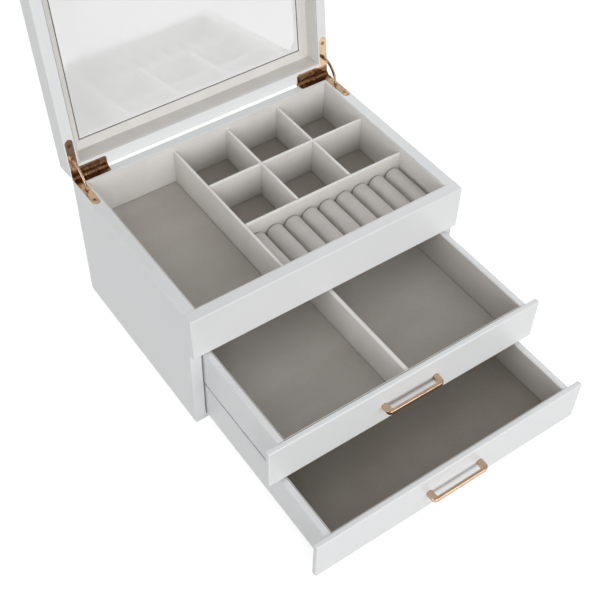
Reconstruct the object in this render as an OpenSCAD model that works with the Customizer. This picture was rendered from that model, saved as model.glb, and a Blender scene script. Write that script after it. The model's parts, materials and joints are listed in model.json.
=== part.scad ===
// A white jewellery chest: a felted tray under a mirrored lid, over two drawers.
// Origin at the middle of the underside, front towards -Y, width along X.

/* [Case] */
// Width of the case
case_w = 260; // [250:1:290]
// Depth of the case, from the front rail to the rear board
case_d = 186; // [184:1:210]
// Height of the case without its felt and lid
case_h = 129.4; // [126:0.2:140]
// Thickness of the side boards
side_t = 10; // [9.5:0.1:12]
// Thickness of the rear board
rear_t = 8.5; // [8:0.1:10]
// Thickness of the front rail
rail_t = 9.8; // [8:0.1:12]
// Height of the front rail
rail_h = 42.8; // [40:0.2:46]
// Thickness of the board under the tray
deck_t = 3; // [2:0.1:3.5]
// Thickness of the shelf between the drawers
shelf_t = 2.2; // [1.5:0.1:3]
// Thickness of the base board
base_t = 4; // [3:0.1:5]
// Thickness of the felt under the base board
felt_t = 1; // [0.8:0.1:2]

/* [Tray] */
// Thickness of the velvet lining on its card
lining_t = 1; // [0.6:0.1:1.5]
// Thickness of the pad on the tray floor
tray_pad_t = 1.8; // [1:0.1:3]
// Thickness of the tray dividers
divider_t = 2.6; // [2:0.1:4]
// How far the dividers stop below the rim
divider_drop = 5; // [3:0.5:8]
// Clear width of a small square compartment
square_w = 50.4; // [46:0.2:52]
// Clear depth of a small square compartment
square_d = 52.2; // [46:0.2:53]
// Number of ring rolls side by side
roll_count = 9; // [6:1:10]
// Height of a ring roll above the tray pad
roll_h = 21.5; // [18:0.5:24]

/* [Lid] */
// Height of the closed lid
lid_h = 21.1; // [20.5:0.1:26]
// Thickness of the lid's top panel
lid_panel_t = 3.6; // [3:0.1:4]
// Thickness of the lid's rails
lid_rail_t = 9.5; // [9.2:0.1:12]
// Thickness of the lid's rear rail
lid_rear_t = 11.2; // [9.5:0.1:12]
// Thickness of the mirror glass
mirror_t = 1.5; // [1:0.1:1.7]
// Thickness of the velvet frame round the mirror
border_t = 1.8; // [1.8:0.1:2.5]
// Width of that frame at the lid's sides
border_w = 10.2; // [8:0.1:20]
// How far the lid stands open
open_angle = 97; // [90:1:100]

/* [Hinges] */
// Length of a hinge leaf along the side rim, from the pin
arm_len = 37.2; // [36:0.1:42]
// Width of that arm
arm_w = 7; // [6.4:0.1:7.5]
// Length of a hinge leaf along the rear rim
leg_len = 32.5; // [28:0.5:36]
// Thickness of a hinge leaf
leaf_t = 1.2; // [1:0.1:1.4]
// Distance of the hinge pin behind the rear board
pin_back = 1.1; // [0.8:0.1:1.6]
// Middle radius of the quadrant stay
stay_r = 17.5; // [16:0.5:18]

/* [Drawers] */
// Thickness of the drawer fronts
front_t = 4.8; // [4.4:0.1:6]
// Gap above each drawer front
front_gap = 1.3; // [1:0.1:1.8]
// Thickness of the drawer sides and backs
box_t = 5; // [4:0.1:7]
// Thickness of the drawer bottoms
bottom_t = 3; // [2:0.1:4]
// How far the upper drawer stands open
upper_out = 102.6; // [60:0.2:162]
// How far the lower drawer stands open
lower_out = 163; // [100:0.2:164]

/* [Pulls] */
// Width of a drawer pull
pull_w = 55; // [40:1:90]
// How far a pull stands out from its drawer front
pull_out = 9.6; // [9:0.1:16]
// Height of the pull's section
pull_h = 4.6; // [4.2:0.1:6]
// Thickness of the pull's bar
pull_bar = 3; // [2.5:0.1:3.4]

/* [Hidden] */
$fn = 48;

paint = "white";
velvet = "#b9b0a6";
metal = "#c98f6b";
eps = 0.01;

// Case levels and faces
half_w = case_w / 2;
front_y = -case_d / 2;
rear_y = case_d / 2;
rim_z = felt_t + case_h;
rail_z = rim_z - rail_h;
inner_half = half_w - side_t;
rail_back = front_y + rail_t;
rear_in = rear_y - rear_t;
step_y = front_y + front_t;
felt_inset = 4;

// Tray levels and faces
pad_z = rail_z + deck_t;
tray_z = pad_z + tray_pad_t;
lining_top = rim_z - 0.4;
tray_half = inner_half - lining_t;
tray_front = rail_back + lining_t;
tray_rear = rear_in - lining_t;
divider_z = rim_z - divider_drop;
short_right_x = tray_half - square_w - divider_t / 2;
short_left_x = short_right_x - square_w - divider_t;
long_x = short_left_x - square_w - divider_t;
cross_rear_y = tray_rear - square_d - divider_t / 2;
cross_front_y = cross_rear_y - square_d - divider_t;
lap_gap = 0.1;

// Ring bed
bed_left = long_x + divider_t / 2;
bed_rear = cross_front_y - divider_t / 2;
roll_gap = 0.3;
roll_pitch = (tray_half - bed_left) / roll_count;
roll_r = roll_pitch / 2 - roll_gap / 2;

// Lid levels, with the lid closed
lid_gap = 0.3;
lid_z = rim_z + lid_gap;
lid_top = lid_z + lid_h;
panel_z = lid_top - lid_panel_t;
lid_half = half_w - lid_rail_t;
lid_front_in = front_y + lid_rail_t;
lid_rear_in = rear_y - lid_rear_t;
mirror_gap = 0.5;

// Hinge
pin_y = rear_y + pin_back;
pin_z = rim_z + lid_gap / 2;
leaf_inset = 1;
leaf_x = -half_w + leaf_inset;
arm_x = leaf_x + arm_w / 2;
arm_tip_y = pin_y - arm_len;
case_leg_y = rear_in + 2.4;
lid_leg_y = lid_rear_in + 2.6;
leg_round = 2.2;
barrel_r = 2.4;
barrel_play = 0.25;
web_len = 0.8;
pin_r = 1;
pin_play = 0.05;
knuckles = 5;
knuckle_w = leg_len / knuckles;
knuckle_gap = 0.2;
pocket_play = 0.1;
leaf_screw_y = pin_y - arm_len + 6;
leg_screw_x = leaf_x + leg_len - 4.5;
leaf_screw_r = 1.1;
leaf_screw_head = 2;
leaf_screw_len = 7;
screw_play = 0.05;
cross_w = 0.5;
cross_len = 2.4;
cross_depth = 0.6;

// Quadrant stay: a flat arc with a round stop at each end
stay_t = 1.2;
stay_w = 3;
stay_head = 2;
stay_play = 0.3;
stay_drop = leaf_t + lid_gap / 2 + 0.2 + stay_head;
stay_tail = asin(stay_drop / stay_r);
mortise_in = stay_r - stay_head - 0.5;
mortise_out = stay_r + stay_head + 0.5;
mortise_skin = 1.5;

// Drawers
box_clear = 1;
box_half = inner_half - box_clear;
box_in = box_half - box_t;
run_gap = 0.4;
floor_gap = 1;
rear_clear = 2;
bottom_lift = 1;
drawer_pad_t = 1.2;
drawer_lining_t = 0.8;
drawer_divider_t = 4;
box_len = rear_in - step_y - rear_clear;
front_h = (rail_z - felt_t - floor_gap - 2 * front_gap) / 2;
lower_front_z = felt_t + floor_gap;
upper_front_z = lower_front_z + front_h + front_gap;
shelf_z = upper_front_z - front_gap / 2 - shelf_t / 2;
shelf_set = 6;
lower_box_z = felt_t + base_t + run_gap;
lower_box_h = shelf_z - run_gap - lower_box_z;
upper_box_z = shelf_z + shelf_t + run_gap;
upper_box_h = upper_front_z + front_h - upper_box_z;

// Pulls and the screws that hold them
pull_corner = 4;
pull_post_w = 5;
pull_x = pull_w / 2 - pull_post_w / 2;
pull_screw_r = 1.5;
pull_screw_len = 5;
pull_head_r = 3;
pull_head_t = 1.6;
pull_play = 0.05;

// A board from its lowest corner to its highest
module board(low, high) {
  translate(low) cube(high - low);
}

// The same piece on the right-hand side
module on_right() {
  mirror([1, 0, 0]) children();
}

// ---------- hinges, drawn for the left side with the lid closed ----------

// The outline of a leaf seen from above, with its leg starting at leg_front
module leaf_outline(grow, back, leg_front) {
  tip = arm_tip_y + arm_w / 2;
  round_x = leaf_x + leg_len - leg_round;
  round_y = leg_front + leg_round;
  translate([leaf_x - grow, tip]) square([arm_w + 2 * grow, back - tip]);
  translate([arm_x, tip]) circle(r = arm_w / 2 + grow);
  translate([leaf_x - grow, leg_front - grow])
    square([round_x - leaf_x + grow, back - leg_front + grow]);
  translate([round_x, round_y]) circle(r = leg_round + grow);
  translate([leaf_x, round_y]) square([leg_len + grow, back - round_y]);
}

module screw_places(leg_front) {
  translate([arm_x, leaf_screw_y, rim_z]) children();
  translate([leg_screw_x, (leg_front + pin_y - barrel_r) / 2, rim_z]) children();
}

module screw_body(play) {
  translate([0, 0, -leaf_t]) cylinder(r1 = leaf_screw_r + play, r2 = leaf_screw_head + play, h = leaf_t);
  translate([0, 0, -leaf_screw_len - play]) cylinder(r = leaf_screw_r + play, h = leaf_screw_len);
}

module leaf_screw() {
  difference() {
    screw_body(0);
    for (turn = [0, 90])
      rotate([0, 0, turn + 45])
        translate([-cross_len / 2, -cross_w / 2, -cross_depth])
          cube([cross_len, cross_w, cross_depth + eps]);
  }
}

// Slices lying in the plane of the stay, thick along X
module stay_plane(thick) {
  translate([arm_x - thick / 2, pin_y, pin_z]) rotate([90, 0, 90]) linear_extrude(thick) children();
}

module stay_ring(inner, outer) {
  difference() {
    circle(r = outer, $fn = 96);
    circle(r = inner, $fn = 96);
  }
}

// The round space in which the knuckles turn
module barrel_space() {
  translate([leaf_x - pocket_play, pin_y, pin_z])
    rotate([0, 90, 0])
      cylinder(r = barrel_r + barrel_play, h = leg_len + 2 * pocket_play);
}

// What a rim loses to one leaf: its pocket, the barrel's and the stay's space, the screw holes
module hinge_cut(leg_front) {
  translate([0, 0, rim_z - leaf_t])
    linear_extrude(leaf_t + eps)
      leaf_outline(pocket_play, rear_y + 1, leg_front);
  barrel_space();
  intersection() {
    stay_plane(stay_t + 2 * stay_play) stay_ring(mortise_in, mortise_out);
    board([-half_w, 0, rim_z - mortise_out - 1], [-inner_half, rear_y - mortise_skin, rim_z]);
  }
  screw_places(leg_front) screw_body(screw_play + eps);
}

module knuckle(place) {
  x = leaf_x + place * knuckle_w + knuckle_gap / 2;
  wide = knuckle_w - knuckle_gap;
  translate([x, pin_y, pin_z]) rotate([0, 90, 0]) cylinder(r = barrel_r, h = wide);
  board([x, pin_y - barrel_r - web_len, rim_z - leaf_t], [x + wide, pin_y, rim_z]);
}

// One leaf; the case's takes the even knuckles and the lid's the odd ones
module hinge_leaf(first, leg_front) {
  slot_in = stay_r - stay_w / 2 - stay_play - 0.3;
  slot_out = stay_r + stay_w / 2 + stay_play + 0.3;
  difference() {
    union() {
      difference() {
        translate([0, 0, rim_z - leaf_t]) linear_extrude(leaf_t) leaf_outline(0, rear_y, leg_front);
        barrel_space();
      }
      for (place = [first : 2 : knuckles - 1]) knuckle(place);
    }
    translate([leaf_x - 1, pin_y, pin_z]) rotate([0, 90, 0]) cylinder(r = pin_r + pin_play, h = leg_len + 2);
    screw_places(leg_front) screw_body(screw_play);
    board([arm_x - stay_t / 2 - stay_play, pin_y - slot_out, rim_z - leaf_t - 1],
          [arm_x + stay_t / 2 + stay_play, pin_y - slot_in, rim_z + 1]);
  }
}

module hinge_stay() {
  low = 180 + stay_tail;
  high = 180 - open_angle - stay_tail;
  reach = 2 * stay_r;
  stay_plane(stay_t) {
    intersection() {
      stay_ring(stay_r - stay_w / 2, stay_r + stay_w / 2);
      polygon([
        [0, 0],
        reach * [cos(low), sin(low)],
        reach * [cos(180), sin(180)],
        reach * [cos((low + high) / 2), sin((low + high) / 2)],
        reach * [cos(high), sin(high)]
      ]);
    }
    for (turn = [low, high])
      translate(stay_r * [cos(turn), sin(turn)]) circle(r = stay_head);
  }
}

// ---------- lid ----------

// Turns pieces drawn with the lid closed to where the open lid holds them
module lid_open() {
  translate([0, pin_y, pin_z]) rotate([-open_angle, 0, 0]) translate([0, -pin_y, -pin_z]) children();
}

// Turns a piece drawn on the case rim over onto the lid's rim
module onto_lid() {
  translate([0, 0, 2 * pin_z]) mirror([0, 0, 1]) children();
}

module lid_rail_side() {
  difference() {
    board([-half_w, front_y, lid_z], [-lid_half, rear_y, panel_z]);
    onto_lid() hinge_cut(lid_leg_y);
  }
}

module lid_rails_rear() {
  difference() {
    board([-lid_half, lid_rear_in, lid_z], [lid_half, rear_y, panel_z]);
    onto_lid() hinge_cut(lid_leg_y);
    on_right() onto_lid() hinge_cut(lid_leg_y);
  }
}

// A frame of four thin walls standing on a floor
module wall_ring(half, front, rear, low, top, thick) {
  difference() {
    board([-half, front, low], [half, rear, top]);
    board([-half + thick, front + thick, low - 1], [half - thick, rear - thick, top + 1]);
  }
}

// ---------- case ----------

module case_side() {
  difference() {
    translate([-half_w, 0, 0])
      rotate([90, 0, 90])
        linear_extrude(side_t)
          polygon([
            [step_y, felt_t],
            [rear_y, felt_t],
            [rear_y, rim_z],
            [rail_back, rim_z],
            [rail_back, rail_z],
            [step_y, rail_z]
          ]);
    hinge_cut(case_leg_y);
  }
}

// A tray divider running front to back, slotted from below to cross another
module divider_short(x) {
  half_t = divider_t / 2;
  lap = (tray_z + divider_z) / 2;
  difference() {
    board([x - half_t, cross_front_y + half_t, tray_z], [x + half_t, tray_rear, divider_z]);
    board([x - divider_t, cross_rear_y - half_t - lap_gap, tray_z - 1],
          [x + divider_t, cross_rear_y + half_t + lap_gap, lap + lap_gap]);
  }
}

module ring_roll(place) {
  x = bed_left + (place + 0.5) * roll_pitch;
  length = bed_rear - tray_front - 2 * roll_gap;
  translate([x, bed_rear - roll_gap, tray_z])
    rotate([90, 0, 0])
      linear_extrude(length) {
        translate([0, roll_h - roll_r]) circle(r = roll_r);
        translate([-roll_r, 0]) square([2 * roll_r, roll_h - roll_r]);
      }
}

// ---------- drawers, drawn closed; place_drawer pulls them out ----------

module drawer_front(z) {
  difference() {
    board([-half_w, front_y, z], [half_w, step_y, z + front_h]);
    pull_screws(z, screw_play);
  }
}

module drawer_side(z, high) {
  board([-box_half, step_y, z], [-box_in, step_y + box_len, z + high]);
}

module drawer_back(z, high) {
  board([-box_in, step_y + box_len - box_t, z], [box_in, step_y + box_len, z + high]);
}

module drawer_bottom(z) {
  board([-box_in, step_y, z + bottom_lift], [box_in, step_y + box_len - box_t, z + bottom_lift + bottom_t]);
}

module drawer_pad(z) {
  low = z + bottom_lift + bottom_t;
  board([-box_in, step_y, low], [box_in, step_y + box_len - box_t, low + drawer_pad_t]);
}

module drawer_lining(z, high) {
  low = z + bottom_lift + bottom_t + drawer_pad_t;
  wall_ring(box_in, step_y, step_y + box_len - box_t, low, z + high - 0.2, drawer_lining_t);
}

module drawer_divider(z, high) {
  low = z + bottom_lift + bottom_t + drawer_pad_t;
  board([-drawer_divider_t / 2, step_y + drawer_lining_t, low],
        [drawer_divider_t / 2, step_y + box_len - box_t - drawer_lining_t, z + high - 1]);
}

// A bracket pull: a flat bar turned back at both ends into its posts
module pull(z) {
  turn = pull_corner;
  inner = turn - pull_bar;
  difference() {
    translate([0, front_y, z + front_h / 2 - pull_h / 2])
      linear_extrude(pull_h)
        difference() {
          union() {
            translate([-pull_w / 2, -pull_out + turn]) square([pull_w, pull_out - turn]);
            translate([-pull_w / 2 + turn, -pull_out]) square([pull_w - 2 * turn, turn + eps]);
            for (side = [-1, 1])
              translate([side * (pull_w / 2 - turn), -pull_out + turn]) circle(r = turn);
          }
          union() {
            translate([-pull_w / 2 + pull_post_w, -pull_out + turn])
              square([pull_w - 2 * pull_post_w, pull_out - turn + 1]);
            translate([-pull_w / 2 + pull_post_w + inner, -pull_out + pull_bar])
              square([pull_w - 2 * (pull_post_w + inner), inner + eps]);
            for (side = [-1, 1])
              translate([side * (pull_w / 2 - pull_post_w - inner), -pull_out + turn]) circle(r = inner);
          }
        }
    pull_screws(z, pull_play);
  }
}

module pull_screws(z, play) {
  for (side = [-1, 1])
    translate([side * pull_x, step_y, z + front_h / 2])
      rotate([90, 0, 0]) {
        translate([0, 0, -eps * sign(play)]) cylinder(r = pull_head_r + play, h = pull_head_t + play);
        cylinder(r = pull_screw_r + play, h = front_t + pull_screw_len + play);
      }
}

module place_drawer(out) {
  translate([0, -out, 0]) children();
}

// ---------- one module per piece ----------

module case_side_left() { color(paint) case_side(); }
module case_side_right() { color(paint) on_right() case_side(); }
module case_rear() {
  color(paint)
    difference() {
      board([-inner_half, rear_in, felt_t], [inner_half, rear_y, rim_z]);
      hinge_cut(case_leg_y);
      on_right() hinge_cut(case_leg_y);
    }
}
module case_front_rail() { color(paint) board([-half_w, front_y, rail_z], [half_w, rail_back, rim_z]); }
module tray_deck() { color(paint) board([-inner_half, rail_back, rail_z], [inner_half, rear_in, pad_z]); }
module drawer_shelf() {
  color(paint) board([-inner_half, step_y + shelf_set, shelf_z], [inner_half, rear_in, shelf_z + shelf_t]);
}
module case_base() {
  color(paint) board([-inner_half, step_y, felt_t], [inner_half, rear_in, felt_t + base_t]);
}
module base_felt() {
  color("#8f8a84")
    board([-half_w + felt_inset, step_y + felt_inset, 0], [half_w - felt_inset, rear_y - felt_inset, felt_t]);
}
module tray_pad() { color(velvet) board([-inner_half, rail_back, pad_z], [inner_half, rear_in, tray_z]); }
module tray_lining_left() {
  color(velvet) board([-inner_half, rail_back, tray_z], [-tray_half, rear_in, lining_top]);
}
module tray_lining_right() { on_right() tray_lining_left(); }
module tray_lining_front() {
  color(velvet) board([-tray_half, rail_back, tray_z], [tray_half, tray_front, lining_top]);
}
module tray_lining_rear() {
  color(velvet) board([-tray_half, tray_rear, tray_z], [tray_half, rear_in, lining_top]);
}
module divider_long() {
  color(velvet)
    board([long_x - divider_t / 2, tray_front, tray_z], [long_x + divider_t / 2, tray_rear, divider_z]);
}
module divider_cross_rear() {
  half_t = divider_t / 2;
  lap = (tray_z + divider_z) / 2;
  color(velvet)
    difference() {
      board([bed_left, cross_rear_y - half_t, tray_z], [tray_half, cross_rear_y + half_t, divider_z]);
      for (x = [short_left_x, short_right_x])
        board([x - half_t - lap_gap, cross_rear_y - divider_t, lap],
              [x + half_t + lap_gap, cross_rear_y + divider_t, divider_z + 1]);
    }
}
module divider_cross_front() {
  half_t = divider_t / 2;
  color(velvet)
    board([bed_left, cross_front_y - half_t, tray_z], [tray_half, cross_front_y + half_t, divider_z]);
}
module divider_short_left() { color(velvet) divider_short(short_left_x); }
module divider_short_right() { color(velvet) divider_short(short_right_x); }
module ring_rolls() {
  color(velvet) for (place = [0 : roll_count - 1]) ring_roll(place);
}

module hinge_leaf_case_left() { color(metal) hinge_leaf(0, case_leg_y); }
module hinge_leaf_case_right() { color(metal) on_right() hinge_leaf(0, case_leg_y); }
module hinge_pin() {
  translate([leaf_x, pin_y, pin_z]) rotate([0, 90, 0]) cylinder(r = pin_r, h = leg_len);
}
module hinge_pins() {
  color(metal) {
    hinge_pin();
    on_right() hinge_pin();
  }
}
module hinge_screws_case() {
  color(metal) {
    screw_places(case_leg_y) leaf_screw();
    on_right() screw_places(case_leg_y) leaf_screw();
  }
}
module hinge_stay_left() { color(metal) hinge_stay(); }
module hinge_stay_right() { color(metal) on_right() hinge_stay(); }

module lid_panel() { color(paint) lid_open() board([-half_w, front_y, panel_z], [half_w, rear_y, lid_top]); }
module lid_rail_front() {
  color(paint) lid_open() board([-lid_half, front_y, lid_z], [lid_half, lid_front_in, panel_z]);
}
module lid_rail_rear() { color(paint) lid_open() lid_rails_rear(); }
module lid_rail_left() { color(paint) lid_open() lid_rail_side(); }
module lid_rail_right() { color(paint) lid_open() on_right() lid_rail_side(); }
module glass_board(thick, play) {
  board([-lid_half + border_w + play, lid_front_in + border_w + play, panel_z - thick],
        [lid_half - border_w - play, lid_rear_in - border_w - play, panel_z]);
}
module mirror_glass() { color("#dfe7ea") lid_open() glass_board(mirror_t, mirror_gap); }
module mirror_border() {
  color(velvet)
    lid_open()
      difference() {
        board([-lid_half, lid_front_in, panel_z - border_t], [lid_half, lid_rear_in, panel_z]);
        translate([0, 0, 1]) glass_board(border_t + 2, 0);
      }
}
module lid_lining() {
  color(velvet)
    lid_open() wall_ring(lid_half, lid_front_in, lid_rear_in, lid_z + 0.4, panel_z - border_t, lining_t);
}
module hinge_leaf_lid_left() { color(metal) lid_open() onto_lid() hinge_leaf(1, lid_leg_y); }
module hinge_leaf_lid_right() { color(metal) lid_open() on_right() onto_lid() hinge_leaf(1, lid_leg_y); }
module hinge_screws_lid() {
  color(metal)
    lid_open() {
      onto_lid() screw_places(lid_leg_y) leaf_screw();
      on_right() onto_lid() screw_places(lid_leg_y) leaf_screw();
    }
}

module drawer_upper_front() { color(paint) place_drawer(upper_out) drawer_front(upper_front_z); }
module drawer_upper_side_left() {
  color(paint) place_drawer(upper_out) drawer_side(upper_box_z, upper_box_h);
}
module drawer_upper_side_right() { on_right() drawer_upper_side_left(); }
module drawer_upper_back() { color(paint) place_drawer(upper_out) drawer_back(upper_box_z, upper_box_h); }
module drawer_upper_bottom() { color(paint) place_drawer(upper_out) drawer_bottom(upper_box_z); }
module drawer_upper_pad() { color(velvet) place_drawer(upper_out) drawer_pad(upper_box_z); }
module drawer_upper_lining() {
  color(velvet) place_drawer(upper_out) drawer_lining(upper_box_z, upper_box_h);
}
module drawer_upper_divider() {
  color(velvet) place_drawer(upper_out) drawer_divider(upper_box_z, upper_box_h);
}
module drawer_upper_pull() { color(metal) place_drawer(upper_out) pull(upper_front_z); }
module drawer_upper_screws() { color(metal) place_drawer(upper_out) pull_screws(upper_front_z, 0); }

module drawer_lower_front() { color(paint) place_drawer(lower_out) drawer_front(lower_front_z); }
module drawer_lower_side_left() {
  color(paint) place_drawer(lower_out) drawer_side(lower_box_z, lower_box_h);
}
module drawer_lower_side_right() { on_right() drawer_lower_side_left(); }
module drawer_lower_back() { color(paint) place_drawer(lower_out) drawer_back(lower_box_z, lower_box_h); }
module drawer_lower_bottom() { color(paint) place_drawer(lower_out) drawer_bottom(lower_box_z); }
module drawer_lower_pad() { color(velvet) place_drawer(lower_out) drawer_pad(lower_box_z); }
module drawer_lower_lining() {
  color(velvet) place_drawer(lower_out) drawer_lining(lower_box_z, lower_box_h);
}
module drawer_lower_pull() { color(metal) place_drawer(lower_out) pull(lower_front_z); }
module drawer_lower_screws() { color(metal) place_drawer(lower_out) pull_screws(lower_front_z, 0); }

case_side_left();
case_side_right();
case_rear();
case_front_rail();
tray_deck();
drawer_shelf();
case_base();
base_felt();
tray_pad();
tray_lining_left();
tray_lining_right();
tray_lining_front();
tray_lining_rear();
divider_long();
divider_cross_rear();
divider_cross_front();
divider_short_left();
divider_short_right();
ring_rolls();
hinge_leaf_case_left();
hinge_leaf_case_right();
hinge_pins();
hinge_screws_case();
hinge_stay_left();
hinge_stay_right();
lid_panel();
lid_rail_front();
lid_rail_rear();
lid_rail_left();
lid_rail_right();
mirror_glass();
mirror_border();
lid_lining();
hinge_leaf_lid_left();
hinge_leaf_lid_right();
hinge_screws_lid();
drawer_upper_front();
drawer_upper_side_left();
drawer_upper_side_right();
drawer_upper_back();
drawer_upper_bottom();
drawer_upper_pad();
drawer_upper_lining();
drawer_upper_divider();
drawer_upper_pull();
drawer_upper_screws();
drawer_lower_front();
drawer_lower_side_left();
drawer_lower_side_right();
drawer_lower_back();
drawer_lower_bottom();
drawer_lower_pad();
drawer_lower_lining();
drawer_lower_pull();
drawer_lower_screws();
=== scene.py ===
# %% [markdown]
# # A white jewellery chest with a mirrored lid
#
# This lesson dresses a finished CAD model. The chest is a case of painted boards with a
# velvet tray on top and two drawers below, and its lid stands open on two gilt hinges.
# Every size and every place comes from the CAD model, which is already in metres, so a
# piece that we build lands where the joiner's drawing puts it.

# %% Load the joiner's model
import json
import math
from itertools import combinations

import bmesh
import bpy
from mathutils import Matrix, Vector, noise

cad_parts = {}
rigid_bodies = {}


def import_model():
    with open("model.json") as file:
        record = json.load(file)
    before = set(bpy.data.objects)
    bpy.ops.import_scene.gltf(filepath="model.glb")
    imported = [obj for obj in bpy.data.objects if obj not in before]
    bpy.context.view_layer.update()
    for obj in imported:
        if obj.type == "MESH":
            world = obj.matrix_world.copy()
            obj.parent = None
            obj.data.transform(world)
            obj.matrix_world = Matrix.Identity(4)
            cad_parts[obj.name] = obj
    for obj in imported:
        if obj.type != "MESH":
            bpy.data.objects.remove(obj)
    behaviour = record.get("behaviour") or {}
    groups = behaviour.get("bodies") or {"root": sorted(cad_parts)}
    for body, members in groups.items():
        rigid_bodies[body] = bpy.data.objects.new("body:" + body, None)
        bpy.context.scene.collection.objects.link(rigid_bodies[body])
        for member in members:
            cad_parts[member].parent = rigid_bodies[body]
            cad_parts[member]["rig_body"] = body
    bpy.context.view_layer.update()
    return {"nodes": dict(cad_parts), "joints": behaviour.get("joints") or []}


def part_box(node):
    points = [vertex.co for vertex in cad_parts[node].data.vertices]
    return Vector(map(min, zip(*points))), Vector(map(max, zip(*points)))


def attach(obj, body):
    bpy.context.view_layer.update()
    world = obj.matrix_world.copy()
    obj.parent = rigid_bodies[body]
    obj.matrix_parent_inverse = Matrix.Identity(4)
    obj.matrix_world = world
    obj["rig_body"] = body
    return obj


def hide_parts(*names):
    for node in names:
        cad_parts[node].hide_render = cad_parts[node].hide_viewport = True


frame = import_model()
MM = 0.001

# %% [markdown]
# ## The camera
#
# A camera can be aimed with a constraint, by hand, or with three angles: how far it has
# walked round the object, how steeply it looks down, and how much its head is tipped.
# The angles are the clearest to read, and they need no target object. A lens of about
# 65 mm is long enough to keep the boards from spreading, and a little shift frames the
# chest without turning the camera.

# %% Set up the camera
camera_data = bpy.data.cameras.new("camera")
camera_data.sensor_width = 36
camera_data.lens = 64.815
camera_data.shift_x = 0.0361
camera_data.shift_y = 0.0109
camera = bpy.data.objects.new("camera", camera_data)
bpy.context.scene.collection.objects.link(camera)
bpy.context.scene.camera = camera

camera_place = Vector((-0.3663, -0.5488, 0.7289))
walked_round, looking_down, tipped = (math.radians(a) for a in (-34.577, 48.661, 0.341))
aim = Matrix.Rotation(walked_round, 4, "Z") @ Matrix.Rotation(math.pi / 2 - looking_down, 4, "X")
camera.matrix_world = Matrix.Translation(camera_place) @ aim @ Matrix.Rotation(tipped, 4, "Z")
print("the camera stands", round(camera_place.length, 2), "m from the chest's foot")

# %% [markdown]
# ## Light and floor
#
# White lacquer shows its form only by small steps of grey, so the light has to come
# from everywhere with just a little more from one side. A pale world does the first
# job, as the walls of a light tent do. A large soft lamp low in front lifts the faces
# that look forward. Two weaker ones keep the left side and the back from going dark. A
# tall narrow strip to the right of the front is weak, but it draws a bright line along
# rounded edges and on the metal. A picture of a studio could light the chest as well,
# but four lamps can be moved and dimmed one at a time.

# %% World and lamps
def make_tent(above, below):
    """A pale world whose strength changes softly from below to above."""
    world = bpy.data.worlds.new("light tent")
    bpy.context.scene.world = world
    world.use_nodes = True
    nodes, links = world.node_tree.nodes, world.node_tree.links
    way = nodes.new("ShaderNodeTexCoord")
    height = nodes.new("ShaderNodeSeparateXYZ")
    strength = nodes.new("ShaderNodeMapRange")
    strength.inputs["From Min"].default_value = -0.25
    strength.inputs["From Max"].default_value = 0.25
    strength.inputs["To Min"].default_value = below
    strength.inputs["To Max"].default_value = above
    links.new(way.outputs["Generated"], height.inputs["Vector"])
    links.new(height.outputs["Z"], strength.inputs["Value"])
    tent = nodes["Background"]
    tent.inputs["Color"].default_value = (0.985, 0.99, 1.0, 1)
    links.new(strength.outputs["Result"], tent.inputs["Strength"])


def soft_lamp(name, round_by, above, distance, size, power):
    """A lamp of a width and a height, round_by degrees to the right of the chest's front."""
    data = bpy.data.lights.new(name, "AREA")
    data.shape = "RECTANGLE"
    data.size, data.size_y = size
    data.energy = power
    lamp = bpy.data.objects.new(name, data)
    turn, rise = math.radians(round_by), math.radians(above)
    way = Vector((math.sin(turn) * math.cos(rise), -math.cos(turn) * math.cos(rise), math.sin(rise)))
    lamp.location = Vector((0, -0.05, 0.1)) + way * distance
    lamp.rotation_euler = way.to_track_quat("Z", "Y").to_euler()
    bpy.context.scene.collection.objects.link(lamp)


make_tent(above=0.59, below=0.12)
bpy.context.scene.view_settings.view_transform = "Standard"
soft_lamp("key", -10, 15, 4.0, (2.0, 2.0), 84)
soft_lamp("side fill", -86, 12, 3.5, (2.0, 2.0), 28)
soft_lamp("back fill", 130, 18, 4.0, (2.0, 2.0), 42)
soft_lamp("strip", 25, 22, 3.0, (0.4, 1.7), 7)
print("four lamps in a tent")

# %% [markdown]
# ## Sums with sockets
#
# A pattern is a sum of simpler patterns: a cloud, plus a little grain, times a
# strength. Wiring Math nodes by hand hides the sum, so a small class wraps a socket and
# lets Python's own signs add the Math nodes. Colours and vectors are kept away from it,
# because a Math node turns a colour grey: they go through Mix and Vector Math nodes.

# %% A socket that can be added and multiplied
class Wire:
    """One socket of a finish, which can stand in a sum like a number."""

    def __init__(self, finish, socket):
        self.finish = finish
        self.socket = socket

    def _math(self, operation, first, second):
        return self.finish.node("Math", {"operation": operation}, {0: first, 1: second})

    def __add__(self, other):
        return self._math("ADD", self, other)

    def __radd__(self, other):
        return self._math("ADD", other, self)

    def __sub__(self, other):
        return self._math("SUBTRACT", self, other)

    def __rsub__(self, other):
        return self._math("SUBTRACT", other, self)

    def __mul__(self, other):
        return self._math("MULTIPLY", self, other)

    def __rmul__(self, other):
        return self._math("MULTIPLY", other, self)


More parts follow.
